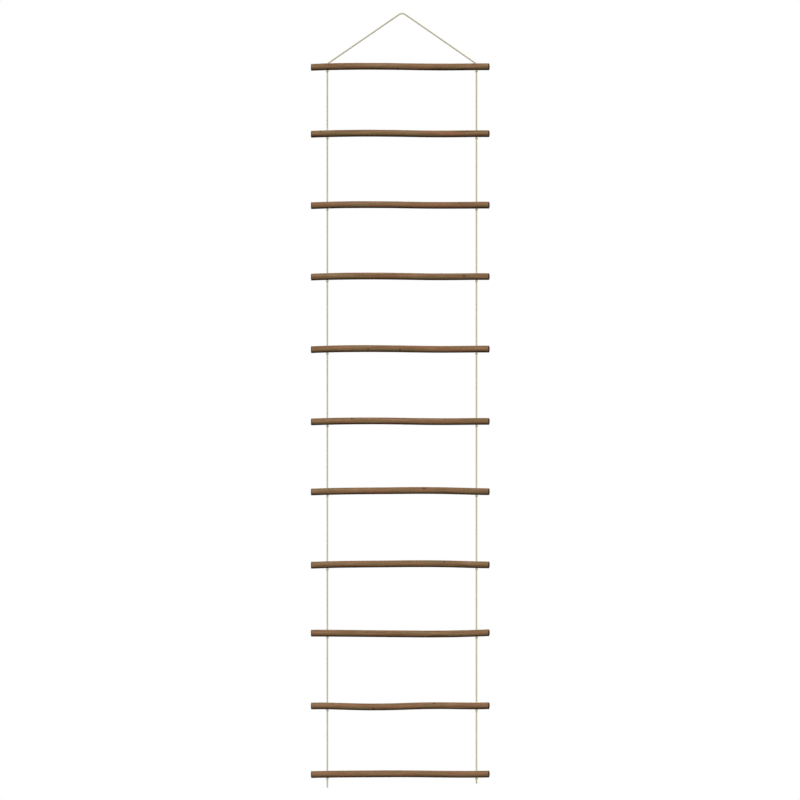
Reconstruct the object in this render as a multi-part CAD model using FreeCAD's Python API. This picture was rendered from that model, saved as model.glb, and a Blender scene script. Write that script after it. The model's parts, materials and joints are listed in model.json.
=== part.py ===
import FreeCAD, Part
import math
import os

# A rope ladder to hang on a wall: wooden rungs threaded on one cord.
# Each rung sits on a knot in the cord at either side.
# Sizes are millimetres. X runs along the rungs, Y from front to back and Z up.
# The origin is where the cord's bight bears on the hook that carries the ladder.

# The cord, seen taut between the rungs, and the bend where it turns down into the top rung,
# a little below the top of the stick
CORD_DIAMETER = 3.6
CORD_SPACING = 333.0
HOOK_DIAMETER = 18.0
MOUTH_RADIUS = 4.0
MOUTH_DEPTH = 1.05
LEFT_TAIL = 15.0
RIGHT_TAIL = 6.0

# The overhand knots tied in the cord under every rung, each a bead that tapers downwards
KNOT_HEIGHT = 6.0
KNOT_STANDOUT = 1.6
KNOT_SHOULDER = 1.1
KNOT_FOOT = 0.3
KNOT_BELLY = 2.0

# The rungs: straight lengths of natural stick, sawn a little out of square at both ends
RUNG_DIAMETER = 15.5
LEFT_OVERHANG = 37.1
RIGHT_OVERHANG = 29.9
LEFT_SAW_ANGLE = 7.0
RIGHT_SAW_ANGLE = 14.0
SAW_WASTE = 5.0

# Where the rungs hang: the top one below the hook, and every other one a pitch below its neighbour,
# a little more or less for each as the knots were tied by hand
HANGER_DROP = 117.4
RUNG_PITCH = 158.0
UNEVENNESS = (-8.5, 1.5, 1.5, 4.0, 3.5, -1.5, 5.5, -5.0, 4.5, -5.5)

# Clearances
HOLE_PLAY = 0.6
MOUTH_PLAY = 0.8
KNOT_SEAT_GAP = 0.4
TURNING_GAP = 0.35

# How far a stick's middle line strays up or down from its two holes, at five places along it: the left tip,
# a third of the cord spacing left of the middle, the middle, the same to its right, and the right tip
ROLLING = (-1.5, 1.0, 0.5, -0.5, 0.0)
ARCHED = (-1.5, 1.0, 2.0, 1.5, -0.5)
SAGGING = (0.0, -0.5, -1.5, -1.5, 1.5)
TILTED = (-0.5, -1.5, -1.0, 0.5, 1.0)
HUMPED = (-1.0, 0.5, 1.0, 0.0, 0.5)

# The bend of each rung, from the top down
BENDS = [ROLLING] * 6 + [ARCHED] * 2 + [SAGGING, TILTED, HUMPED]

# What follows from those sizes
cord_radius = CORD_DIAMETER / 2
rung_radius = RUNG_DIAMETER / 2
hole_radius = cord_radius + HOLE_PLAY
easing_radius = cord_radius + MOUTH_PLAY
belly_radius = cord_radius + KNOT_STANDOUT
shoulder_radius = cord_radius + KNOT_SHOULDER
foot_radius = cord_radius + KNOT_FOOT
side_sign = {"left": -1, "right": 1}
side_x = {"left": -CORD_SPACING / 2, "right": CORD_SPACING / 2}
tail_length = {"left": LEFT_TAIL, "right": RIGHT_TAIL}
left_tip_x = side_x["left"] - LEFT_OVERHANG
right_tip_x = side_x["right"] + RIGHT_OVERHANG
UP = FreeCAD.Vector(0, 0, 1)
DOWN = FreeCAD.Vector(0, 0, -1)


def point(x, z):
    """A point in the ladder's middle plane."""
    return FreeCAD.Vector(x, 0, z)


def rung_heights():
    """The height of each rung's holes, from the top rung down."""
    heights = [-HANGER_DROP]
    for more in UNEVENNESS:
        heights.append(heights[-1] - RUNG_PITCH - more)
    return heights


def knot_top(rung_z):
    """The height of the knots that a rung sits on."""
    return rung_z - rung_radius - KNOT_SEAT_GAP


def bend_below(rung_z):
    """The height where the cord bends below a rung's knots, clear of them at any angle."""
    return knot_top(rung_z) - KNOT_HEIGHT - TURNING_GAP - cord_radius


def sawn_outline():
    """The stick's plan between its two saw cuts, taller than any stick, to trim a blank with."""
    left_slant = math.tan(math.radians(LEFT_SAW_ANGLE))
    right_slant = math.tan(math.radians(RIGHT_SAW_ANGLE))
    corners = []
    for y in (-RUNG_DIAMETER, RUNG_DIAMETER):
        left = left_tip_x + (rung_radius - y) * left_slant
        right = right_tip_x - (rung_radius - y) * right_slant
        corners.append((FreeCAD.Vector(left, y, 0), FreeCAD.Vector(right, y, 0)))
    front, back = corners
    loop = [front[0], front[1], back[1], back[0], front[0]]
    return Part.Face(Part.makePolygon(loop))


def rung(rung_z, bend):
    """One stick with its bend, its two saw cuts and a hole for each cord."""
    left_tip, left_third, middle, right_third, right_tip = bend
    third_x = CORD_SPACING / 3
    line = [
        (left_tip_x - SAW_WASTE, left_tip),
        (side_x["left"], 0.0),
        (-third_x, left_third),
        (0.0, middle),
        (third_x, right_third),
        (side_x["right"], 0.0),
        (right_tip_x + SAW_WASTE, right_tip),
    ]
    rings = []
    for x, stray in line:
        ring = Part.makeCircle(rung_radius, point(x, rung_z + stray), FreeCAD.Vector(1, 0, 0))
        rings.append(Part.Wire(ring))
    stick = Part.makeLoft(rings, True, False)
    trim = sawn_outline()
    trim.translate(point(0, rung_z - RUNG_DIAMETER))
    stick = stick.common(trim.extrude(UP * 2 * RUNG_DIAMETER))
    for x in side_x.values():
        hole = Part.makeCylinder(hole_radius, 2 * RUNG_DIAMETER, point(x, rung_z - RUNG_DIAMETER), UP)
        stick = stick.cut(hole)
    return stick.Solids[0]


def eased_rung(stick, bend, mouth):
    """The top stick, its holes opened towards the hook so that the slanting cord can enter them."""
    for side, sign in side_sign.items():
        corner = point(side_x[side], mouth.z)
        to_hook = point(sign * bend.x, bend.z).sub(corner)
        stick = stick.cut(Part.makeCylinder(easing_radius, 2 * RUNG_DIAMETER, corner, to_hook))
    return stick.Solids[0]


def knot(x, top):
    """An overhand knot pulled tight: a bead with flat ends, widest near its top, turned about the cord."""
    bottom = top - KNOT_HEIGHT
    belly = point(x + belly_radius, top - KNOT_BELLY)
    upper = point(x + shoulder_radius, top)
    lower = point(x + foot_radius, bottom)
    edges = [
        Part.LineSegment(point(x, top), upper).toShape(),
        Part.Arc(upper, belly, lower).toShape(),
        Part.LineSegment(lower, point(x, bottom)).toShape(),
        Part.LineSegment(point(x, bottom), point(x, top)).toShape(),
    ]
    return Part.Face(Part.Wire(edges)).revolve(point(x, 0), UP, 360)


def rounded_end(centre, outward):
    """The half ball on which a stretch of cord turns."""
    return Part.makeSphere(cord_radius, centre, outward, 0, 90, 360)


def straight_cord(x, top, bottom):
    """A taut upright stretch with square ends."""
    return Part.makeCylinder(cord_radius, top - bottom, point(x, top), DOWN)


def swinging_cord(x, bend, bottom):
    """A taut upright stretch whose top turns under the knot above it."""
    return straight_cord(x, bend, bottom).fuse(rounded_end(point(x, bend), UP)).removeSplitter()


def bent_cord(name, edges):
    """A stretch of cord along edges that run on from each other, measured against its length."""
    path = Part.Wire(edges)
    start = edges[0].valueAt(edges[0].FirstParameter)
    heading = edges[0].tangentAt(edges[0].FirstParameter)
    section = Part.Wire(Part.makeCircle(cord_radius, start, heading))
    tube = path.makePipeShell([section], True, True)
    expected = math.pi * cord_radius**2 * path.Length
    print(name, "length", round(path.Length, 2))
    print(name, "volume over section times length", round(tube.Volume / expected, 5))
    return tube


def hanging_places(first_rung_z):
    """Three places on the right leg of the hanging cord: where it leaves the hook, where it bends just below
    the hook, and the corner where it turns down into the top rung's hole."""
    bight_radius = HOOK_DIAMETER / 2 + cord_radius
    hook_z = -HOOK_DIAMETER / 2
    mouth = point(side_x["right"], first_rung_z + rung_radius - MOUTH_DEPTH)
    reach = math.hypot(mouth.x, hook_z - mouth.z)
    # the leg touches the bight's circle at this angle from the upright
    slope = math.atan2(hook_z - mouth.z, mouth.x) + math.asin(bight_radius / reach)
    leave = point(bight_radius * math.sin(slope), hook_z + bight_radius * math.cos(slope))
    bend = leave + mouth.sub(leave).normalize() * (cord_radius + TURNING_GAP)
    print("bight radius", bight_radius, "mouth radius", MOUTH_RADIUS, "slope", round(math.degrees(slope), 2))
    return leave, bend, mouth


def cord_bight(leave):
    """The stretch of cord that lies over the hook."""
    over = Part.Arc(point(-leave.x, leave.z), point(0, cord_radius), leave)
    return bent_cord("cord bight", [over.toShape()])


def hanging_leg(side, bend, mouth, bottom):
    """A leg of the hanging cord, from its bend below the hook through the top rung's hole to the knot."""
    top = point(side_sign[side] * bend.x, bend.z)
    corner = point(side_x[side], mouth.z)
    heading = corner.sub(top).normalize()
    half_turn = heading.getAngle(DOWN) / 2
    setback = MOUTH_RADIUS * math.tan(half_turn)
    before = corner - heading * setback
    after = corner + DOWN * setback
    inward = DOWN.sub(heading).normalize()
    middle = corner + inward * (MOUTH_RADIUS / math.cos(half_turn) - MOUTH_RADIUS)
    edges = [
        Part.LineSegment(top, before).toShape(),
        Part.Arc(before, middle, after).toShape(),
        Part.LineSegment(after, point(corner.x, bottom)).toShape(),
    ]
    leg = bent_cord(side + " hanging cord", edges)
    return leg.fuse(rounded_end(top, heading.negative())).removeSplitter()


def save(name, shape):
    """Writes one named piece, and says so if it isn't one sound solid."""
    if not shape.isValid() or len(shape.Solids) != 1:
        print("check", name, shape.isValid(), len(shape.Solids))
    shape.Solids[0].exportStep("parts/" + name + ".step")


os.makedirs("parts", exist_ok=True)
heights = rung_heights()
hook_leave, hook_bend, mouth_corner = hanging_places(heights[0])
save("cord_bight", cord_bight(hook_leave))

for number, rung_z in enumerate(heights, start=1):
    label = "%02d" % number
    stick = rung(rung_z, BENDS[number - 1])
    if number == 1:
        stick = eased_rung(stick, hook_bend, mouth_corner)
    save("rung_" + label, stick)
    for side, x in side_x.items():
        if number == 1:
            save(side + "_hanging_cord", hanging_leg(side, hook_bend, mouth_corner, knot_top(rung_z)))
        else:
            stretch = swinging_cord(x, bend_below(heights[number - 2]), knot_top(rung_z))
            save(side + "_cord_" + label, stretch)
        save(side + "_knot_" + label, knot(x, knot_top(rung_z)))

lowest_knot = knot_top(heights[-1]) - KNOT_HEIGHT
for side, x in side_x.items():
    save(side + "_tail", straight_cord(x, lowest_knot, lowest_knot - tail_length[side]))

print("rungs", len(heights), "length", right_tip_x - left_tip_x)
print("height of the whole ladder", CORD_DIAMETER - lowest_knot + max(tail_length.values()))
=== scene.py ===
# %% [markdown]
# # Dressing a rope ladder
# The ladder hangs on a wall: eleven brown sticks, threaded on one length of twine that goes up the left
# side, over a hook and down the right side, with a knot under every stick. The sizes, places and joints
# come ready made in a frame of plain solids. Here each solid gets the looks of the real thing: sawn
# natural sticks and laid twine. The frame is loaded first and never changed.

# %% The frame
import json
import math
import random

import bmesh
import bpy
import numpy as np
from mathutils import Matrix, Vector, noise


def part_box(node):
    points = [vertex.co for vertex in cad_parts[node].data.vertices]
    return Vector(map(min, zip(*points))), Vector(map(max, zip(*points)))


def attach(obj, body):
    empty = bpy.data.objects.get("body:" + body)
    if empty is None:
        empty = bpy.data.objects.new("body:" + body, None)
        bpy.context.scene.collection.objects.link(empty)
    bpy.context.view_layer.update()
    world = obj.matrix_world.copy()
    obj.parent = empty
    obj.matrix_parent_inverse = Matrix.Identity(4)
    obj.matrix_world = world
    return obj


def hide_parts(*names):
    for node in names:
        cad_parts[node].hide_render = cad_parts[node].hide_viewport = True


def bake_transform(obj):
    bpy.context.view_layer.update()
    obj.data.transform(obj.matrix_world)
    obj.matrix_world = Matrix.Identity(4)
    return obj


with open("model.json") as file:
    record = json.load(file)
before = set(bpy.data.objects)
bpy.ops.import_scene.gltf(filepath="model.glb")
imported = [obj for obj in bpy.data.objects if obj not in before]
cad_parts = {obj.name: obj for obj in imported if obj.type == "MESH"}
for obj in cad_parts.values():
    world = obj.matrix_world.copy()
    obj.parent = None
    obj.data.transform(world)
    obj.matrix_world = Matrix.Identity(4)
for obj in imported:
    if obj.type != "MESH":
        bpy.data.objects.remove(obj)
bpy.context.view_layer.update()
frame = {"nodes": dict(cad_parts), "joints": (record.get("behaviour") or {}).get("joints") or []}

# %% [markdown]
# ## The camera
# The picture looks straight at the ladder from far away, so the top and bottom rungs show at the same
# size. A long lens from ten metres does that and still is a real camera. The width of ladder plane that
# the square picture takes in sets the lens, and the middle of the picture sets where the camera stands.

# %% Camera
VIEW_WIDTH = 1.7867
CAMERA_DISTANCE = 10.0
SENSOR_WIDTH = 36.0
PICTURE_MIDDLE = Vector((-0.00427, 0.0, -0.8616))

camera_data = bpy.data.cameras.new("front_camera")
camera_data.sensor_width = SENSOR_WIDTH
camera_data.lens = SENSOR_WIDTH * CAMERA_DISTANCE / VIEW_WIDTH
camera = bpy.data.objects.new("front_camera", camera_data)
camera.location = PICTURE_MIDDLE - Vector((0.0, CAMERA_DISTANCE, 0.0))
camera.rotation_euler = (math.radians(90), 0.0, 0.0)
bpy.context.scene.collection.objects.link(camera)
bpy.context.scene.camera = camera
print("camera: lens", round(camera_data.lens, 1), "mm at", [round(v, 4) for v in camera.location])

# %% [markdown]
# ## Small helpers for materials
# A procedural finish is a handful of nodes. One helper adds a node with its settings and links in a
# single call, so that each material below reads like a recipe. Colours are written as the eye knows them,
# from 0 to 255, and turned into the linear numbers that light needs.

# %% Material helpers
def colour(red, green, blue):
    """A colour as seen on a screen, from 0 to 255, as linear light, by the standard screen curve."""
    linear = []
    for channel in (red, green, blue):
        share = channel / 255
        linear.append(share / 12.92 if share <= 0.04045 else ((share + 0.055) / 1.055) ** 2.4)
    return (*linear, 1.0)


def grey(level):
    """A neutral colour, given as linear light."""
    return (level, level, level, 1.0)


def add(tree, kind, sockets=None, **settings):
    """One node. A socket's value is a number or colour, or another node's output that is linked in."""
    made = tree.nodes.new("ShaderNode" + kind)
    for name, value in settings.items():
        setattr(made, name, value)
    for socket, value in (sockets or {}).items():
        if isinstance(value, bpy.types.NodeSocket):
            tree.links.new(value, made.inputs[socket])
        else:
            made.inputs[socket].default_value = value
    return made


def arithmetic(tree, operation, first, second=0.0):
    """The result of a sum, product or the like of two numbers."""
    return add(tree, "Math", {0: first, 1: second}, operation=operation).outputs[0]


def mixed(tree, share, under, over, blend="MIX"):
    """One colour laid over another by a share from 0 to 1."""
    made = add(tree, "Mix", {0: share, 6: under, 7: over}, data_type="RGBA", blend_type=blend)
    return made.outputs[2]


def ramp(tree, value, stops):
    """Colours that follow a value, from (place, colour) stops."""
    made = add(tree, "ValToRGB", {0: value})
    elements = made.color_ramp.elements
    while len(elements) < len(stops):
        elements.new(1.0)
    for element, (place, tint) in zip(elements, stops):
        element.position = place
        element.color = tint
    return made.outputs[0]


def spread(tree, value, low, high, to_low, to_high):
    """A value stretched from one range to another and held there."""
    sockets = {0: value, 1: low, 2: high, 3: to_low, 4: to_high}
    return add(tree, "MapRange", sockets).outputs[0]


print("helpers: a mid brown is", [round(v, 3) for v in colour(135, 106, 79)[:3]])

# %% [markdown]
# ## Light and background
# The ladder is seen on plain white, lit softly from above and in front: the tops of the sticks catch the
# light and their undersides fall into a narrow, nearly black strip. A broad sun in front and above makes
# that strip, which painted shade on the sticks' undersides deepens; a faint sun low in front reaches the
# knots below the sticks, and one behind keeps the back readable. The white is only what the camera and
# reflections see, through the Light Path node, so it adds no light from below. The floor works the same
# way: pale to the eye, dark to the light that would bounce off it, with the shadow kept.

# %% Lamps
SUN_WIDTH = 14.0

# each sun's name, its height above the horizon, its side (0 is the front) and its strength
SUNS = (
    ("key_sun", 36.5, -8.0, 3.4),
    ("front_sun", 6.0, 5.0, 0.14),
    ("back_sun", 26.0, 165.0, 2.4),
)


def sun(name, height, side, strength):
    """A soft sun that shines from a height and a side, both in degrees."""
    lamp = bpy.data.lights.new(name, "SUN")
    lamp.energy = strength
    lamp.angle = math.radians(SUN_WIDTH)
    holder = bpy.data.objects.new(name, lamp)
    up, round_to = math.radians(height), math.radians(side)
    level = math.cos(up)
    source = Vector((math.sin(round_to) * level, -math.cos(round_to) * level, math.sin(up)))
    holder.rotation_euler = (-source).to_track_quat("-Z", "Y").to_euler()
    bpy.context.scene.collection.objects.link(holder)


for settings in SUNS:
    sun(*settings)
print("lamps:", len(SUNS), "soft suns")

# %% White background
HORIZON_FILL = 0.035
SKY_FILL = 0.14


def seen_share(tree):
    """1 for rays that show the background itself, straight or mirrored, and 0 for rays that gather light."""
    path = add(tree, "LightPath").outputs
    straight_or_mirrored = arithmetic(tree, "MAXIMUM", path["Is Camera Ray"], path["Is Glossy Ray"])
    return arithmetic(tree, "MAXIMUM", straight_or_mirrored, path["Is Transmission Ray"])


world = bpy.data.worlds.new("studio")
world.use_nodes = True
bpy.context.scene.world = world
sky = world.node_tree
sky.nodes.clear()
direction = add(sky, "TexCoord").outputs["Generated"]
sky_height = add(sky, "SeparateXYZ", {0: direction}).outputs["Z"]
fill_tint = ramp(sky, spread(sky, sky_height, -1.0, 1.0, 0.0, 1.0), [
    (0.5, grey(0.0)),
    (0.6, grey(HORIZON_FILL)),
    (1.0, grey(SKY_FILL)),
])
fill = add(sky, "Background", {"Color": fill_tint, "Strength": 1.0})
white = add(sky, "Background", {"Color": grey(1.0), "Strength": 1.0})
sky_look = add(sky, "MixShader", {0: seen_share(sky), 1: fill.outputs[0], 2: white.outputs[0]})
add(sky, "OutputWorld", {"Surface": sky_look.outputs[0]})
bpy.context.scene.view_settings.view_transform = "Standard"
print("background: white to the eye, a fill of", SKY_FILL, "from straight above")

# %% Floor
FLOOR_HEIGHT = -2.0
FLOOR_RADIUS = 2.0
FLOOR_SIDES = 96
FLOOR_PALE = (0.86, 0.86, 0.85, 1.0)
FLOOR_DARK = grey(0.02)

floor_material = bpy.data.materials.new("pale_floor")
floor_material.use_nodes = True
floor_tree = floor_material.node_tree
floor_tree.nodes.clear()
dark = add(floor_tree, "BsdfDiffuse", {"Color": FLOOR_DARK}).outputs[0]
pale = add(floor_tree, "BsdfDiffuse", {"Color": FLOOR_PALE}).outputs[0]
floor_look = add(floor_tree, "MixShader", {0: seen_share(floor_tree), 1: dark, 2: pale})
add(floor_tree, "OutputMaterial", {"Surface": floor_look.outputs[0]})

floor_mesh = bpy.data.meshes.new("floor")
disc = bmesh.new()
bmesh.ops.create_circle(disc, cap_ends=True, segments=FLOOR_SIDES, radius=FLOOR_RADIUS)
bmesh.ops.translate(disc, verts=disc.verts, vec=(0.0, 0.0, FLOOR_HEIGHT))
disc.to_mesh(floor_mesh)
disc.free()
floor_mesh.materials.append(floor_material)
floor = bpy.data.objects.new("floor", floor_mesh)
bpy.context.scene.collection.objects.link(floor)

# %% [markdown]
# ## The twine's finish
# Natural twine is a bundle of pale straw-coloured fibres. Each strand's map runs in metres along the
# strand and from 0 to 1 round it. Bending that map into a ring before the noise reads it leaves no seam.
# Long thin noise gives the fibres, slightly slanted because yarn is spun, and a slow one along the cord
# gives greyer and yellower stretches. The same fibres raise the bump, so the light catches on them.

# %% Twine material
FIBRES_ALONG = 210.0
FIBRES_ROUND = 2.4
SPIN_SLANT = 160.0
BLOTCHES_PER_METRE = 28.0
TWINE_RELIEF = 0.0002


def finish_of(name):
    """A new material with its shader, ready for a recipe."""
    made = bpy.data.materials.new(name)
    made.use_nodes = True
    made.node_tree.nodes.clear()
    shader = add(made.node_tree, "BsdfPrincipled")
    add(made.node_tree, "OutputMaterial", {"Surface": shader.outputs[0]})
    return made, made.node_tree, shader


def make_twine():
    """Matt spun fibres, straw to grey."""
    made, tree, shader = finish_of("natural_twine")
    place = add(tree, "SeparateXYZ", {0: add(tree, "UVMap", uv_map="UVMap").outputs[0]})
    slant = arithmetic(tree, "MULTIPLY", place.outputs["X"], SPIN_SLANT)
    turn = arithmetic(tree, "ADD", arithmetic(tree, "MULTIPLY", place.outputs["Y"], math.tau), slant)
    ring_y = arithmetic(tree, "MULTIPLY", arithmetic(tree, "COSINE", turn), FIBRES_ROUND)
    ring_z = arithmetic(tree, "MULTIPLY", arithmetic(tree, "SINE", turn), FIBRES_ROUND)
    along = arithmetic(tree, "MULTIPLY", place.outputs["X"], FIBRES_ALONG)
    ring = add(tree, "CombineXYZ", {0: along, 1: ring_y, 2: ring_z}).outputs[0]
    fibre = add(tree, "TexNoise", {"Vector": ring, "Scale": 1.0, "Detail": 5.0, "Roughness": 0.62}).outputs[0]
    spot = add(tree, "TexCoord").outputs["Object"]
    blotch = add(tree, "TexNoise", {"Vector": spot, "Scale": BLOTCHES_PER_METRE, "Detail": 3.0}).outputs[0]
    straw = ramp(tree, fibre, [
        (0.28, colour(162, 153, 120)),
        (0.45, colour(203, 196, 161)),
        (0.58, colour(221, 214, 179)),
        (0.75, colour(237, 232, 202)),
    ])
    grey_share = spread(tree, blotch, 0.35, 0.7, 0.0, 0.45)
    tinted = mixed(tree, grey_share, straw, colour(200, 195, 166))
    tree.links.new(tinted, shader.inputs["Base Color"])
    rough = spread(tree, fibre, 0.3, 0.7, 0.95, 0.78)
    tree.links.new(rough, shader.inputs["Roughness"])
    shader.inputs["Specular IOR Level"].default_value = 0.15
    shader.inputs["Sheen Weight"].default_value = 0.12
    shader.inputs["Sheen Roughness"].default_value = 0.6
    bump = add(tree, "Bump", {"Height": fibre, "Strength": 0.7, "Distance": TWINE_RELIEF})
    tree.links.new(bump.outputs[0], shader.inputs["Normal"])
    return made


twine_finish = make_twine()
print("twine finish:", len(twine_finish.node_tree.nodes), "nodes")

# %% [markdown]
# ## From a route to a laid cord
# A cord could be a plain tube, but twine is three strands laid round each other, and close up that is all
# one sees. The route is a smooth NURBS spline drawn from a few listed points. Its line is read back
# as points, a direction across the line is carried along it with as little turning as possible, and each
# strand is a helix round the line. Blender's own curve bevel then gives the strands their round section.
# Loose fibres stand out of the twist here and there, as they do on every natural cord, and the strands
# vary a little in thickness.

# %% Reading a route
ROUTE_DETAIL = 400


def read_route(points, step):
    """The smooth line that a NURBS spline draws from a cord's points, read back about a step apart."""
    curve = bpy.data.curves.new("route", "CURVE")
    curve.dimensions = "3D"
    spline = curve.splines.new("NURBS")
    spline.points.add(len(points) - 1)
    for control, place in zip(spline.points, points):
        control.co = (*place, 1.0)
    spline.order_u = 3
    spline.use_endpoint_u = True
    spline.resolution_u = ROUTE_DETAIL
    holder = bpy.data.objects.new("route", curve)
    bpy.context.scene.collection.objects.link(holder)
    drawn = bpy.data.meshes.new_from_object(holder)
    read = [vertex.co.copy() for vertex in drawn.vertices]
    bpy.data.objects.remove(holder)
    bpy.data.curves.remove(curve)
    bpy.data.meshes.remove(drawn)
    line = [read[0]]
    for place in read[1:]:
        if (place - line[-1]).length >= step:
            line.append(place)
    line[-1] = read[-1]
    return line


def length_of(line):
    """How long a line of points is."""
    return sum((b - a).length for a, b in zip(line, line[1:]))


sample = read_route([Vector((0, 0, 0)), Vector((0, 0, -0.05)), Vector((0, 0, -0.1))], 0.0005)
print("route: a straight 100 mm reads as", len(sample), "points,", round(length_of(sample), 4), "m")

# %% Strands
STRANDS = 3
STRAND_RADIUS = 0.00107
STRAND_OFFSET = 0.00077
LAY_LENGTH = 0.0096
LAY_STEP = 0.00056


def headings(line):
    """The direction of a line at each of its points."""
    ahead = line[1:] + line[-1:]
    behind = line[:1] + line[:-1]
    return [(a - b).normalized() for a, b in zip(ahead, behind)]


def carried_across(directions):
    """A direction across the line at each point, carried along with as little turning as can be."""
    across = [directions[0].orthogonal().normalized()]
    for before, here in zip(directions, directions[1:]):
        across.append((before.rotation_difference(here) @ across[-1]).normalized())
    return across


def strand_line(line, offset, lay, start, opening):
    """A helix round the line, one turn in each lay. Where the twist opens, the helix widens."""
    directions = headings(line)
    points = []
    travelled = 0.0
    for number, (centre, heading, across) in enumerate(zip(line, directions, carried_across(directions))):
        if number:
            travelled += (centre - line[number - 1]).length
        turn = Matrix.Rotation(start + math.tau * travelled / lay, 3, heading)
        wide = offset * (opening(travelled) if opening else 1.0)
        points.append(centre + turn @ across * wide)
    return points


def lay_strands(line, offset, lay, first_angle, opening=None):
    """The lines of all the strands, evenly spaced round the cord."""
    starts = [first_angle + math.tau * number / STRANDS for number in range(STRANDS)]
    return [strand_line(line, offset, lay, start, opening) for start in starts]


cord_width = 2 * (STRAND_RADIUS + STRAND_OFFSET)
print("lay:", STRANDS, "strands, a turn every", LAY_LENGTH, "m,", round(cord_width, 5), "m over all")

# %% Tubes
SLUB = 0.07
SLUBS_PER_METRE = 90
SLUB_SHIFT = 7.3


def tubes(rows, radius, roundness, thickness=None):
    """A mesh of round tubes along rows of points, with closed ends and a map in metres along each."""
    curve = bpy.data.curves.new("tubes", "CURVE")
    curve.dimensions = "3D"
    curve.bevel_depth = radius
    curve.bevel_resolution = roundness
    curve.use_fill_caps = True
    for row_number, row in enumerate(rows):
        spline = curve.splines.new("POLY")
        spline.points.add(len(row) - 1)
        for number, (control, place) in enumerate(zip(spline.points, row)):
            control.co = (*place, 1.0)
            control.radius = thickness(row_number, number / (len(row) - 1), place) if thickness else 1.0
    holder = bpy.data.objects.new("tubes", curve)
    bpy.context.scene.collection.objects.link(holder)
    mesh = bpy.data.meshes.new_from_object(holder)
    bpy.data.objects.remove(holder)
    bpy.data.curves.remove(curve)
    marks = mesh.uv_layers[0].data
    flat = np.zeros(len(marks) * 2)
    marks.foreach_get("uv", flat)
    flat[0::2] *= length_of(rows[0])
    marks.foreach_set("uv", flat)
    return mesh


def slubby(row_number, share, place):
    """Hand-spun strands are a little uneven."""
    return 1.0 + SLUB * noise.noise(place * SLUBS_PER_METRE + Vector((row_number * SLUB_SHIFT, 0, 0)))


print("tubes: strands thicker and thinner by up to", SLUB, "of their width")

# %% Stray fibres
FIBRE_RADIUS = 0.00005
FIBRES_PER_METRE = 330
FIBRE_REACH = (0.0001, 0.00035)
FIBRE_RUN = (0.0010, 0.0032)
FIBRE_TAPER = 0.7

# how many of a strand's points are left out at its start and at its end
FIBRE_FREE = (2, 3)

# the shares of its reach and of its run that a fibre has made at each point after its root
FIBRE_STAGES = ((0.25, 0.3), (0.7, 0.65), (1.0, 1.0))


def fibre_lines(line, strands, count, chance):
    """Short stray fibres: each starts in a strand, stands out of it and trails along the cord."""
    rows = []
    for _ in range(count):
        strand = chance.choice(strands)
        spot = chance.randrange(FIBRE_FREE[0], len(strand) - FIBRE_FREE[1])
        heading = (line[spot + 1] - line[spot]).normalized() * chance.choice((-1, 1))
        out = heading.orthogonal().normalized()
        out.rotate(Matrix.Rotation(chance.uniform(0.0, math.tau), 3, heading))
        reach = chance.uniform(*FIBRE_REACH)
        run = chance.uniform(*FIBRE_RUN)
        row = [strand[spot]]
        for stood_out, trailed in FIBRE_STAGES:
            row.append(strand[spot] + out * (STRAND_RADIUS + stood_out * reach) + heading * trailed * run)
        rows.append(row)
    return rows


def thinning(row_number, share, place):
    """A fibre thins to its tip."""
    return 1.0 - FIBRE_TAPER * share


print("fibres:", FIBRES_PER_METRE, "to a metre of cord, up to", FIBRE_RUN[1], "m long")

# %% A laid cord
STRAND_ROUNDNESS = 3
FIBRE_ROUNDNESS = 0
MERGE_DISTANCE = 1e-7
SEED_SCALE = 1000


def piece_from(name, meshes, finish):
    """One object from several meshes, with doubled points merged and faces turned outwards."""
    shape = bmesh.new()
    for mesh in meshes:
        shape.from_mesh(mesh)
        bpy.data.meshes.remove(mesh)
    bmesh.ops.remove_doubles(shape, verts=shape.verts, dist=MERGE_DISTANCE)
    bmesh.ops.recalc_face_normals(shape, faces=shape.faces)
    for face in shape.faces:
        face.smooth = True
    made = bpy.data.meshes.new(name)
    shape.to_mesh(made)
    shape.free()
    made.materials.append(finish)
    piece = bpy.data.objects.new(name, made)
    bpy.context.scene.collection.objects.link(piece)
    return piece


def laid_cord(name, line, first_angle, opening=None, end_fibres=()):
    """A three-strand cord along a line, with stray fibres that its first strand's angle seeds."""
    strands = lay_strands(line, STRAND_OFFSET, LAY_LENGTH, first_angle, opening)
    chance = random.Random(int(first_angle * SEED_SCALE))
    stray = fibre_lines(line, strands, int(FIBRES_PER_METRE * length_of(line)), chance) + list(end_fibres)
    body = tubes(strands, STRAND_RADIUS, STRAND_ROUNDNESS, slubby)
    fuzz = tubes(stray, FIBRE_RADIUS, FIBRE_ROUNDNESS, thinning)
    return piece_from(name, [body, fuzz], twine_finish)


print("a laid cord has about", round(STRANDS / LAY_STEP), "points to a metre")
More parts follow.
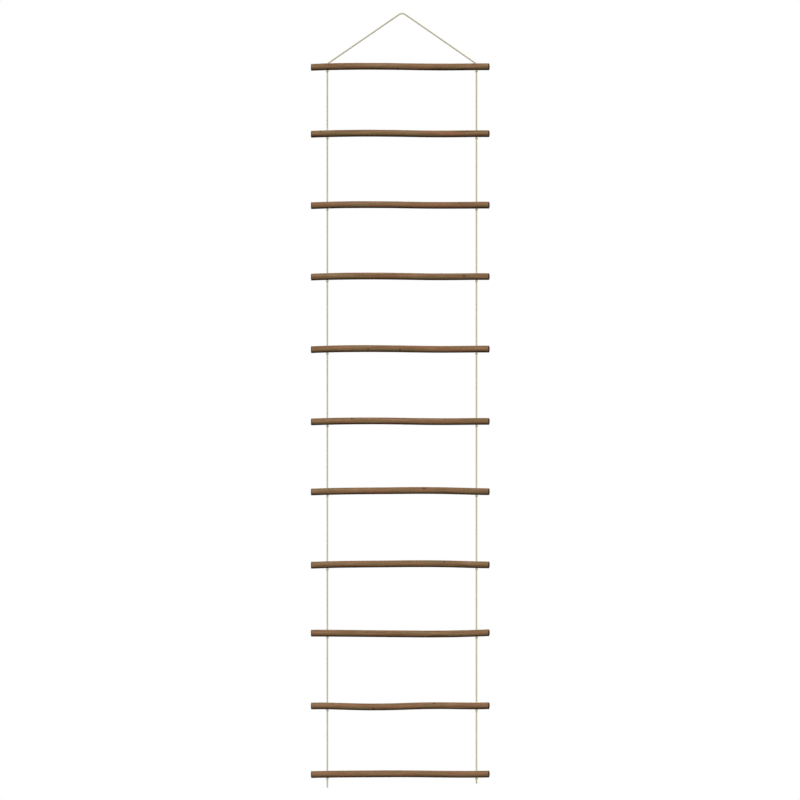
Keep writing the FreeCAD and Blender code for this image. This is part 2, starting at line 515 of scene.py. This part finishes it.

# %% [markdown]
# ## The cord over the hook
# From the knot under the top stick the cord goes up through its hole, turns in the hole's mouth, runs
# straight to the hook, over it in a small round bend and down the other side. A few points are enough: a
# corner's neighbours say how tight the bend is, so those in the mouth stand close and those beside the
# hook about four cord diameters away.

# %% Hanging cord
LABELS = [name[-2:] for name in sorted(frame["nodes"]) if name.startswith("rung_")]
SIDES = ("left", "right")
HINGE_HEIGHT = {j["child"]: j["pos_m"][2] for j in frame["joints"] if j["type"] == "hinge"}
HANGING_ROUTE = [Vector(place) for place in (
    (-0.1665, 0.0, -0.1265),
    (-0.1665, 0.0, -0.1150),
    (-0.1665, 0.0, -0.1107),
    (-0.1630, 0.0, -0.1083),
    (-0.0143, 0.0, -0.0059),
    (0.0005, 0.0, 0.0042),
    (0.0153, 0.0, -0.0058),
    (0.1630, 0.0, -0.1083),
    (0.1665, 0.0, -0.1107),
    (0.1665, 0.0, -0.1150),
    (0.1665, 0.0, -0.1265),
)]
HANGING_ANGLE = 0.4

hanging_line = read_route(HANGING_ROUTE, LAY_STEP)
hanging_twine = laid_cord("hanging_twine", hanging_line, HANGING_ANGLE)
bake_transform(hanging_twine)
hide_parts("cord_bight", "left_hanging_cord", "right_hanging_cord")
hanging_top = max(place.z for place in hanging_line)
print("hanging cord:", round(length_of(hanging_line), 4), "m, top at", round(hanging_top, 5))

# %% [markdown]
# ## The knots
# Each knot is tied like an overhand knot with one wrap more, and drawn tight. Followed along the cord, it
# goes down the middle to the heel, climbs in widening wraps round itself to the crown, tucks in there and
# goes down the middle again. So it is widest right under the stick, where the load presses it flat. A
# short loop of code gives the control points of the wraps, and the same strand-laying makes the knot from
# a cord squeezed thinner, as a tight knot does. Half of the knots turn the other way round, and each is
# turned a little differently, because they are tied by hand.

# %% The way through a knot
KNOT_SQUEEZE = 0.7
KNOT_ROPE = (STRAND_RADIUS + STRAND_OFFSET) * KNOT_SQUEEZE
KNOT_CORE = 0.0005
WRAP_NARROW = 0.0009
WRAP_WIDE = 0.0021
KNOT_WRAPS = 2.1
KNOT_STATIONS = 17
KNOT_RISE = 1.5
TUCK_TURN = 0.9


def knot_place(side, label):
    """The middle of a knot's upper and lower ends."""
    low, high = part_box(side + "_knot_" + label)
    middle = (low + high) / 2
    return Vector((middle.x, 0.0, high.z)), Vector((middle.x, 0.0, low.z))


def knot_route(top, bottom, facing, hand):
    """Down the middle, up in widening wraps, and down the middle again."""
    crown, heel = top.z - KNOT_ROPE, bottom.z + KNOT_ROPE
    waist = (crown + heel) / 2

    def at(angle, radius, z):
        return Vector((top.x + radius * math.cos(angle), radius * math.sin(angle), z))

    wraps = []
    for station in range(KNOT_STATIONS):
        share = station / (KNOT_STATIONS - 1)
        angle = facing + hand * math.tau * KNOT_WRAPS * share
        climbed = min(1.0, KNOT_RISE * share)
        radius = WRAP_NARROW + (WRAP_WIDE - WRAP_NARROW) * climbed
        wraps.append(at(angle, radius, heel + (crown - heel) * climbed))
    behind = facing + math.pi
    tucked = facing + hand * (math.tau * KNOT_WRAPS + TUCK_TURN)
    down = [at(behind, KNOT_CORE, waist), at(behind, KNOT_CORE, heel)]
    down_again = [at(tucked, KNOT_CORE, crown), at(facing, KNOT_CORE, waist)]
    return [top] + down + wraps + down_again + [bottom]


first_top, first_bottom = knot_place("left", LABELS[0])
print("a knot has room for", round(first_top.z - first_bottom.z, 4), "m of height")

# %% Knots
KNOT_STEP = 0.0002
KNOT_LAY = 0.0075
FACING_SWAY = 0.5
FACING_STEP = 2.4
OUTWARD = {"left": math.pi, "right": 0.0}


def tie_knot(side, label):
    """One knot under a stick, on its tier."""
    number = int(label)
    top, bottom = knot_place(side, label)
    hand = 1 if number % 2 else -1
    facing = OUTWARD[side] + FACING_SWAY * math.sin(number * FACING_STEP)
    line = read_route(knot_route(top, bottom, facing, hand), KNOT_STEP)
    strands = lay_strands(line, STRAND_OFFSET * KNOT_SQUEEZE, KNOT_LAY, number)
    body = tubes(strands, STRAND_RADIUS * KNOT_SQUEEZE, STRAND_ROUNDNESS)
    knot = piece_from("%s_overhand_%s" % (side, label), [body], twine_finish)
    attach(knot, "tier_" + label)
    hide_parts("%s_knot_%s" % (side, label))
    return knot


knots = {(side, label): tie_knot(side, label) for label in LABELS for side in SIDES}
size = knots["left", "01"].dimensions
print("knots:", len(knots), "each about", [round(v * 1000, 1) for v in size], "mm")

# %% [markdown]
# ## The cord between the sticks
# Twenty straight stretches carry the load, each from the knot above, through the hole of the stick below,
# to that stick's own knot. A stretch is limp where it leaves the knot above. The lowest two go on through
# their knots and end in a short tail, where the lay opens and the fibres spread.

# %% Tail ends
TAIL_OPENING = 0.005
TAIL_SPREAD = 0.25
TAIL_FIBRES = 26
TAIL_FIBRE_SPREAD = (0.0004, 0.0019)
TAIL_FIBRE_LIFT = (0.0, 0.0008)
TAIL_FIBRE_ROOT = (0.002, 0.0045)
TAIL_FIBRE_STAGES = (0.4, 0.75)
TAIL_FIBRE_BOW = 0.0002


def tail_fibres(end, chance):
    """The brush of fibres at a cut end, kept above the tail's lowest point."""
    rows = []
    for _ in range(TAIL_FIBRES):
        angle = chance.uniform(0.0, math.tau)
        out = Vector((math.cos(angle), math.sin(angle), 0.0))
        spread_to = chance.uniform(*TAIL_FIBRE_SPREAD)
        lift = chance.uniform(*TAIL_FIBRE_LIFT)
        start = end + Vector((0.0, 0.0, chance.uniform(*TAIL_FIBRE_ROOT)))
        tip = Vector((end.x, end.y, end.z + lift)) + out * spread_to
        bowed = [start.lerp(tip, share) + out * TAIL_FIBRE_BOW for share in TAIL_FIBRE_STAGES]
        rows.append([start] + bowed + [tip])
    return rows


def tail_opening(whole):
    """How much the twist opens along a cord of a length: not at all, until close to its end."""

    def opening(travelled):
        return 1.0 + TAIL_SPREAD * max(0.0, 1.0 - (whole - travelled) / TAIL_OPENING) ** 2

    return opening


print("tails: the lay opens over the last", TAIL_OPENING, "m,", TAIL_FIBRES, "fibres in each brush")

# %% Side cords
IN_KNOT = 0.001
SIDE_ANGLE = {"left": 0.5, "right": 0.0}


def side_cord(side, label):
    """A stretch from the knot above a stick to the stick's own knot, or on to the tail."""
    lowest = label == LABELS[-1]
    above = LABELS[LABELS.index(label) - 1]
    leaving = knot_place(side, above)[1]
    top = knot_place(side, label)[0]
    hinge = Vector((top.x, 0.0, HINGE_HEIGHT["tier_" + label]))
    start = leaving + Vector((0.0, 0.0, IN_KNOT))
    end = top - Vector((0.0, 0.0, IN_KNOT))
    nodes = ["%s_cord_%s" % (side, label)]
    if lowest:
        nodes.append(side + "_tail")
        end = Vector((top.x, 0.0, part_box(side + "_tail")[0].z))
    line = read_route([start, hinge, top, end], LAY_STEP)
    opening = tail_opening(length_of(line)) if lowest else None
    brush = tail_fibres(end, random.Random(side)) if lowest else []
    name = "%s_twine_%s" % (side, label)
    piece = laid_cord(name, line, int(label) + SIDE_ANGLE[side], opening, brush)
    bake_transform(piece)
    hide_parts(*nodes)
    return length_of(line)


lengths = [side_cord(side, label) for label in LABELS[1:] for side in SIDES]
print("side cords:", len(lengths), "from", round(min(lengths), 4), "to", round(max(lengths), 4), "m")

# %% [markdown]
# ## The sticks' finish
# The sticks are bare brown wood with long streaks: lighter and darker bands two to four millimetres wide,
# some reddish, some greyer, with fine fibres over them and dark rings round the scars of twigs. All of it
# is noise drawn out along the stick. It reads an attribute that each mesh carries, the place along and
# across the stick's own bent middle line, so that the grain follows the bend and no two sticks are alike.
# The underside carries painted shade, a darker strip along its lower edge, and the sawn ends show growth
# rings with painted shade that darkens them towards their lower edge.

# %% Stick side
# each kind of mark: its length and width in metres, its detail, and a shift to set it apart
STREAKS = (0.075, 0.0026, 4.0, 0.0)
RED_BANDS = (0.09, 0.006, 2.0, 3.7)
GREY_BANDS = (0.07, 0.006, 2.0, 9.1)
WOOD_FIBRES = (0.018, 0.0005, 3.0, 5.3)
PORES = (0.007, 0.00035, 1.0, 1.9)

# the heights, from the stick's middle, where the painted shade along its underside is darkest and where that
# ends
UNDERSIDE_PAINTED_SHADE = (-0.0065, -0.0026)
SIDE_RELIEF = 0.0003


def drawn_out(tree, place, along, across, detail, shift):
    """Noise stretched along the stick, so many metres long and wide."""
    scale = (1 / along, 1 / across, 1 / across)
    laid = add(tree, "Mapping", {"Vector": place, "Location": (shift, shift, 0.0), "Scale": scale})
    return add(tree, "TexNoise", {"Vector": laid.outputs[0], "Scale": 1.0, "Detail": detail}).outputs[0]


def make_stick_side():
    """The long side of a stick."""
    made, tree, shader = finish_of("stick_side")
    place = add(tree, "Attribute", attribute_name="stick_place").outputs["Vector"]
    height = add(tree, "SeparateXYZ", {0: place}).outputs["Z"]
    scar = add(tree, "Attribute", attribute_name="twig_scar").outputs["Fac"]
    streak = drawn_out(tree, place, *STREAKS)
    red = drawn_out(tree, place, *RED_BANDS)
    dull = drawn_out(tree, place, *GREY_BANDS)
    fibre = drawn_out(tree, place, *WOOD_FIBRES)
    pore = drawn_out(tree, place, *PORES)
    brown = ramp(tree, streak, [
        (0.26, colour(95, 68, 46)),
        (0.41, colour(127, 96, 67)),
        (0.50, colour(144, 112, 81)),
        (0.60, colour(152, 121, 89)),
        (0.78, colour(168, 138, 107)),
    ])
    redder = mixed(tree, spread(tree, red, 0.47, 0.63, 0.0, 0.7), brown, colour(156, 107, 80))
    greyer = mixed(tree, spread(tree, dull, 0.47, 0.63, 0.0, 0.7), redder, colour(131, 113, 76))
    fine = mixed(tree, spread(tree, fibre, 0.3, 0.7, 0.55, 0.0), greyer, colour(150, 132, 112), "MULTIPLY")
    dotted = mixed(tree, spread(tree, pore, 0.62, 0.72, 0.0, 0.55), fine, colour(60, 42, 30))
    # painted shade: the underside is darkened towards a nearly black strip, in place of the shade under the
    # stick
    underside_painted_shade = mixed(tree, spread(tree, height, *UNDERSIDE_PAINTED_SHADE, 0.5, 0.0), dotted, colour(52, 36, 25))
    ragged = arithmetic(tree, "ADD", scar, arithmetic(tree, "MULTIPLY", fibre, 0.5))
    rimmed = mixed(tree, spread(tree, ragged, 0.62, 0.82, 0.0, 0.85), underside_painted_shade, colour(62, 43, 31))
    scarred = mixed(tree, spread(tree, ragged, 1.05, 1.3, 0.0, 0.6), rimmed, colour(116, 88, 63))
    tree.links.new(scarred, shader.inputs["Base Color"])
    tree.links.new(spread(tree, fibre, 0.3, 0.7, 0.82, 0.6), shader.inputs["Roughness"])
    shader.inputs["Specular IOR Level"].default_value = 0.1
    relief = arithmetic(tree, "ADD", fibre, arithmetic(tree, "MULTIPLY", streak, 0.6))
    bump = add(tree, "Bump", {"Height": relief, "Strength": 0.55, "Distance": SIDE_RELIEF})
    tree.links.new(bump.outputs[0], shader.inputs["Normal"])
    return made


side_finish = make_stick_side()
print("stick side:", len(side_finish.node_tree.nodes), "nodes")

# %% Sawn end
PITH = (0.0, 0.0009, -0.0006)
PITH_EDGE = (0.0005, 0.0008)
RING_WIDTH = 0.00095
RING_WAVER = 0.0026
WAVERS_PER_METRE = 330.0
SAW_MARKS_PER_METRE = 5200.0
END_SHADE_REACH = 0.005
END_RELIEF = 0.00012


def make_sawn_end():
    """The sawn end of a stick, with growth rings and the saw's roughness."""
    made, tree, shader = finish_of("stick_end")
    place = add(tree, "Attribute", attribute_name="stick_place").outputs["Vector"]
    split = add(tree, "SeparateXYZ", {0: place})
    section = add(tree, "CombineXYZ", {1: split.outputs["Y"], 2: split.outputs["Z"]}).outputs[0]
    pith = add(tree, "VectorMath", {0: section, 1: PITH}, operation="DISTANCE").outputs["Value"]
    waver = add(tree, "TexNoise", {"Vector": place, "Scale": WAVERS_PER_METRE, "Detail": 3.0}).outputs[0]
    ring_place = arithmetic(tree, "ADD", pith, arithmetic(tree, "MULTIPLY", waver, RING_WAVER))
    ring = arithmetic(tree, "SINE", arithmetic(tree, "MULTIPLY", ring_place, math.tau / RING_WIDTH))
    grain = add(tree, "TexNoise", {"Vector": place, "Scale": SAW_MARKS_PER_METRE, "Detail": 3.0}).outputs[0]
    wood = ramp(tree, spread(tree, ring, -1.0, 1.0, 0.0, 1.0), [
        (0.0, colour(100, 76, 57)),
        (0.3, colour(139, 110, 85)),
        (1.0, colour(164, 134, 106)),
    ])
    cored = mixed(tree, spread(tree, pith, *PITH_EDGE, 0.8, 0.0), wood, colour(62, 45, 33))
    sawn = mixed(tree, spread(tree, grain, 0.35, 0.65, 0.5, 0.0), cored, colour(140, 124, 108), "MULTIPLY")
    # painted shade: the end face darkens towards its lower edge, in place of the light that falls off there
    end_painted_shade = spread(tree, split.outputs["Z"], -END_SHADE_REACH, END_SHADE_REACH, 0.92, 0.0)
    tree.links.new(mixed(tree, end_painted_shade, sawn, colour(26, 19, 14)), shader.inputs["Base Color"])
    tree.links.new(spread(tree, grain, 0.3, 0.7, 0.95, 0.8), shader.inputs["Roughness"])
    shader.inputs["Specular IOR Level"].default_value = 0.1
    relief = arithmetic(tree, "ADD", grain, arithmetic(tree, "MULTIPLY", ring, 0.3))
    bump = add(tree, "Bump", {"Height": relief, "Strength": 0.35, "Distance": END_RELIEF})
    tree.links.new(bump.outputs[0], shader.inputs["Normal"])
    return made


end_finish = make_sawn_end()
print("sawn end:", len(end_finish.node_tree.nodes), "nodes")

# %% [markdown]
# ## The shape of a stick
# A stick starts as a round blank. Its bend is read from the frame by rays shot down and up at each
# station, a little behind the holes so that they always meet wood. Noise makes the section less than
# round and the thickness uneven by a tenth of a millimetre or two, and a few twig scars stand up as
# collars with a sunken middle.

# %% A stick's bend
RAY_OFFSET = 0.004
RAY_START = 0.03
END_MARGIN = 0.005
STATIONS = 120


def middle_line(label):
    """Heights of a stick's middle along its length, read from its solid."""
    solid = frame["nodes"]["rung_" + label]
    low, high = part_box("rung_" + label)
    stations = np.linspace(low.x + END_MARGIN, high.x - END_MARGIN, STATIONS)
    heights = []
    for x in stations:
        above = solid.ray_cast(Vector((x, RAY_OFFSET, high.z + RAY_START)), Vector((0, 0, -1)))[1].z
        below = solid.ray_cast(Vector((x, RAY_OFFSET, low.z - RAY_START)), Vector((0, 0, 1)))[1].z
        heights.append((above + below) / 2)
    return stations, np.array(heights)


arch = middle_line("07")[1]
print("stick 07: middle from", round(arch.min(), 5), "to", round(arch.max(), 5), "m high")

# %% Twig scars
SCARS = 5
SCAR_PLACE = (0.15, 0.85)
SCAR_SIZE = (0.0018, 0.0032)
SCAR_STRETCH = 1.5


def scars_of(label, low_x, high_x):
    """Where a stick's twigs were: the place along it, the angle round it and the size of each scar."""
    chance = random.Random("scars " + label)
    found = []
    for number in range(SCARS):
        share = (number + chance.uniform(*SCAR_PLACE)) / SCARS
        round_to = chance.uniform(0.0, math.tau)
        found.append((low_x + share * (high_x - low_x), round_to, chance.uniform(*SCAR_SIZE)))
    return found


def scar_distance(x, angle, radius, scar):
    """How far a place on the stick is from a scar, in sizes of the scar. A scar is longer than it is wide."""
    along, round_to, size = scar
    turn = (angle - round_to + math.pi) % math.tau - math.pi
    return math.hypot((x - along) / (SCAR_STRETCH * size), turn * radius / size)


print("scars:", SCARS, "on each stick, up to", SCAR_SIZE[1], "m in radius")

# %% Uneven thickness
STICK_EASE = 0.00002
ROUGHEST = 0.00012
SCAR_REACH = 3
COLLAR = 0.00028
COLLAR_SHARPNESS = 4
DIMPLE = 0.00030
DIMPLE_SHARPNESS = 3

# each unevenness: its height, how many to a metre, how many round it, and a shift from stick to stick
SWELL = (0.00010, 11, 0, 3.1)
FLATS = (0.00013, 16, 1.3, 5.7)
RIDGES = (0.00007, 30, 6, 2.3)
SWELL_PLACE = 0.5


def unevenness(kind, x, level, up, number):
    """What one kind of unevenness adds to the thickness at a place along and round a stick."""
    height, along, round_it, shift = kind
    return height * noise.noise(Vector((x * along, level * round_it + number * shift, up * round_it)))


def stick_radius(x, angle, thickest, number, scars):
    """How thick the stick is at a place along and round it."""
    level, up = math.cos(angle), math.sin(angle)
    swell = SWELL[0] * noise.noise(Vector((x * SWELL[1], number * SWELL[3], SWELL_PLACE)))
    flats = unevenness(FLATS, x, level, up, number)
    ridges = unevenness(RIDGES, x, level, up, number)
    radius = thickest - STICK_EASE + swell + flats + ridges
    for scar in scars:
        away = scar_distance(x, angle, thickest, scar)
        if away < SCAR_REACH:
            collar = COLLAR * math.exp(-COLLAR_SHARPNESS * (away - 1) ** 2)
            radius += collar - DIMPLE * math.exp(-DIMPLE_SHARPNESS * away ** 2)
    return min(radius, thickest + ROUGHEST)


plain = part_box("rung_01")[1].y
rough_radius = stick_radius(0.0, 0.0, plain, 1, [])
print("stick 01: radius", round(plain, 5), "m in the frame,", round(rough_radius, 5), "m at its middle")

# %% [markdown]
# ## The blank and its saw cuts
# The blank is a round bar from the cone operator, cut into rings by subdivision and pushed into shape. A
# bisecting plane could saw the ends, but it leaves slivers beside the cut that spoil a bevel. Here the
# rings lean, so that the first and the last lie in the slanted saw cuts, and a narrow bevel breaks the
# sharp edges. Insetting the end faces gives them rings to shade and lets the middle sink a hair, as end
# grain dries.

# %% Blank
STICK_SIDES = 60
STICK_RINGS = 230
LEFT_SAW_ANGLE = math.radians(7)
RIGHT_SAW_ANGLE = math.radians(14)


def unit_bar():
    """A bar of radius 1 from 0 to 1 along X, cut into rings."""
    bar = bmesh.new()
    lying = Matrix.Translation((0.5, 0.0, 0.0)) @ Matrix.Rotation(math.radians(90), 4, "Y")
    bmesh.ops.create_cone(bar, segments=STICK_SIDES, radius1=1.0, radius2=1.0, depth=1.0,
                          cap_ends=True, matrix=lying)
    lengthwise = [e for e in bar.edges if abs(e.verts[0].co.x - e.verts[1].co.x) > 0.5]
    bmesh.ops.subdivide_edges(bar, edges=lengthwise, cuts=STICK_RINGS, use_grid_fill=True)
    return bar


def stick_blank(label):
    """The bent and weathered stick before drilling, with its end rings in the planes of the two saw cuts."""
    low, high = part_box("rung_" + label)
    thickest = high.y
    stations, heights = middle_line(label)
    scars = scars_of(label, low.x, high.x)

    def sawn_place(share, y):
        """How far along the stick a share of the way from saw cut to saw cut is."""
        left = low.x + (thickest - y) * math.tan(LEFT_SAW_ANGLE)
        right = high.x - (thickest - y) * math.tan(RIGHT_SAW_ANGLE)
        return left + share * (right - left)

    blank = unit_bar()
    for vertex in blank.verts:
        share = vertex.co.x
        angle = math.atan2(vertex.co.z, vertex.co.y)
        x = sawn_place(share, thickest * math.cos(angle))
        radius = stick_radius(x, angle, thickest, int(label), scars)
        y = radius * math.cos(angle)
        x = sawn_place(share, y)
        vertex.co = Vector((x, y, float(np.interp(x, stations, heights)) + radius * math.sin(angle)))
    return blank


print("blank:", STICK_SIDES, "sides,", STICK_RINGS, "rings between its ends")

# %% Sawn ends
RIM_BEVEL = 0.00035
RIM_SEGMENTS = 2
END_INSETS = (0.0012, 0.0018, 0.0022)
END_SINK = 0.00006
MOST_SIDE_CORNERS = 8


def finish_end(blank, end_x):
    """Breaks the edge of one sawn end and insets its face in rings."""

    def sawn_face():
        ends = [f for f in blank.faces if len(f.verts) > MOST_SIDE_CORNERS]
        return min(ends, key=lambda f: abs(f.calc_center_median().x - end_x))

    bmesh.ops.bevel(blank, geom=sawn_face().edges[:], offset=RIM_BEVEL, offset_type="OFFSET", affect="EDGES",
                    segments=RIM_SEGMENTS, profile=0.5, material=-1)
    face = sawn_face()
    face.material_index = 1
    for inset in END_INSETS:
        bmesh.ops.inset_region(blank, faces=[face], thickness=inset, depth=-END_SINK)
    bmesh.ops.poke(blank, faces=[face])


print("sawn ends:", len(END_INSETS), "rings, the middle sunk by", round(len(END_INSETS) * END_SINK, 5), "m")

# %% [markdown]
# ## The holes
# The holes could be modelled face by face, but a real drill cuts them, and so does a Boolean: a lathed
# cutter, made by spinning its half outline, that widens at the mouth. The top stick's cord comes in at a
# slant, so its holes are opened towards the hook with a second, slanted drill. Last, each point of the
# drilled stick is given its place along and across the stick, which the finishes read, and the stick is
# set on its body.

# %% Drills
HOLE_RADIUS = 0.0024
HOLE_SIDES = 28
MOUTH_WIDENING = 0.00035
MOUTH_DEPTH = 0.0006
EASING_RADIUS = 0.0026
EASING_LENGTH = 0.031
DRILL_MERGE = 1e-6

# in the hanging cord's route, the corner at each hole's mouth and the next point towards the hook
MOUTH_CORNERS = ((2, 3), (-3, -4))


def tool_from(shape):
    """An object to cut with, from the shape of a drill."""
    bmesh.ops.recalc_face_normals(shape, faces=shape.faces)
    mesh = bpy.data.meshes.new("drill")
    shape.to_mesh(mesh)
    shape.free()
    return bpy.data.objects.new("drill", mesh)


def upright_drills(label):
    """Two lathed drills, longer than the stick is thick, widened at both mouths."""
    drills = bmesh.new()
    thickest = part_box("rung_" + label)[1].y
    wide = HOLE_RADIUS + MOUTH_WIDENING
    reach = 2 * thickest
    half = [
        (0.0, -reach), (wide, -reach), (wide, -thickest), (HOLE_RADIUS, MOUTH_DEPTH - thickest),
        (HOLE_RADIUS, thickest - MOUTH_DEPTH), (wide, thickest), (wide, reach), (0.0, reach),
    ]
    for side in SIDES:
        x = knot_place(side, label)[0].x
        centre = Vector((x, 0.0, float(np.interp(x, *middle_line(label)))))
        outline = [drills.verts.new(centre + Vector((radius, 0.0, z))) for radius, z in half]
        edges = [drills.edges.new(pair) for pair in zip(outline, outline[1:])]
        bmesh.ops.spin(drills, geom=outline + edges, cent=centre, axis=(0, 0, 1), angle=math.tau,
                       steps=HOLE_SIDES, use_merge=True)
    bmesh.ops.remove_doubles(drills, verts=drills.verts, dist=DRILL_MERGE)
    return tool_from(drills)


def slanted_drills():
    """Two plain drills along the hanging cord, from the corner where it turns down into the top stick."""
    drills = bmesh.new()
    for corner_number, next_number in MOUTH_CORNERS:
        corner = HANGING_ROUTE[corner_number]
        slant = (HANGING_ROUTE[next_number] - corner).to_track_quat("Z", "Y").to_matrix().to_4x4()
        place = Matrix.Translation(corner) @ slant @ Matrix.Translation((0.0, 0.0, EASING_LENGTH / 2))
        bmesh.ops.create_cone(drills, segments=HOLE_SIDES, radius1=EASING_RADIUS, radius2=EASING_RADIUS,
                              depth=EASING_LENGTH, cap_ends=True, matrix=place)
    return tool_from(drills)


print("drills: holes", 2 * HOLE_RADIUS, "m wide, eased to", 2 * EASING_RADIUS, "m in the top stick")

# %% Finished sticks
SHARP_ANGLE = math.radians(40)
GRAIN_SHIFT = 1.37
SCAR_EDGE = 1.2


def drilled_mesh(label):
    """The mesh of a sawn stick with its holes."""
    low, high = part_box("rung_" + label)
    blank = stick_blank(label)
    finish_end(blank, low.x)
    finish_end(blank, high.x)
    solid_mesh = bpy.data.meshes.new("solid_stick")
    blank.to_mesh(solid_mesh)
    blank.free()
    solid_mesh.materials.append(side_finish)
    solid_mesh.materials.append(end_finish)
    solid = bpy.data.objects.new("solid_stick", solid_mesh)
    bpy.context.scene.collection.objects.link(solid)
    tools = [upright_drills(label)] + ([slanted_drills()] if label == "01" else [])
    for tool in tools:
        bpy.context.scene.collection.objects.link(tool)
        drilling = solid.modifiers.new("drilling", "BOOLEAN")
        drilling.object = tool
        drilling.operation = "DIFFERENCE"
        drilling.solver = "EXACT"
    bpy.context.view_layer.update()
    drilled = solid.evaluated_get(bpy.context.evaluated_depsgraph_get())
    mesh = bpy.data.meshes.new_from_object(drilled)
    for helper in [solid] + tools:
        bpy.data.objects.remove(helper)
    return mesh


def mark_places(mesh, label):
    """Writes on each point its place along and across the stick, and how much of a twig scar it is."""
    low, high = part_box("rung_" + label)
    stations, heights = middle_line(label)
    scars = scars_of(label, low.x, high.x)
    mesh.attributes.new("stick_place", "FLOAT_VECTOR", "POINT")
    mesh.attributes.new("twig_scar", "FLOAT", "POINT")
    places = mesh.attributes["stick_place"].data
    marks = mesh.attributes["twig_scar"].data
    for vertex, place, mark in zip(mesh.vertices, places, marks):
        x, y, z = vertex.co
        z -= float(np.interp(x, stations, heights))
        place.vector = (x + int(label) * GRAIN_SHIFT, y, z)
        near = min(scar_distance(x, math.atan2(z, y), high.y, scar) for scar in scars)
        mark.value = max(0.0, SCAR_EDGE - near)


def make_stick(label):
    """A finished stick: sawn, drilled, marked and set on its body. The top one rides on the first tier."""
    mesh = drilled_mesh(label)
    mesh.polygons.foreach_set("use_smooth", [True] * len(mesh.polygons))
    mesh.set_sharp_from_angle(angle=SHARP_ANGLE)
    mark_places(mesh, label)
    stick = bpy.data.objects.new("stick_" + label, mesh)
    bpy.context.scene.collection.objects.link(stick)
    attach(stick, "tier_01" if label == "01" else "rung_" + label)
    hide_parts("rung_" + label)
    return stick


sticks = [make_stick(label) for label in LABELS]
print("sticks:", len(sticks), "with", sum(len(s.data.polygons) for s in sticks), "faces")
print("first stick:", [round(v * 1000, 2) for v in sticks[0].dimensions], "mm")
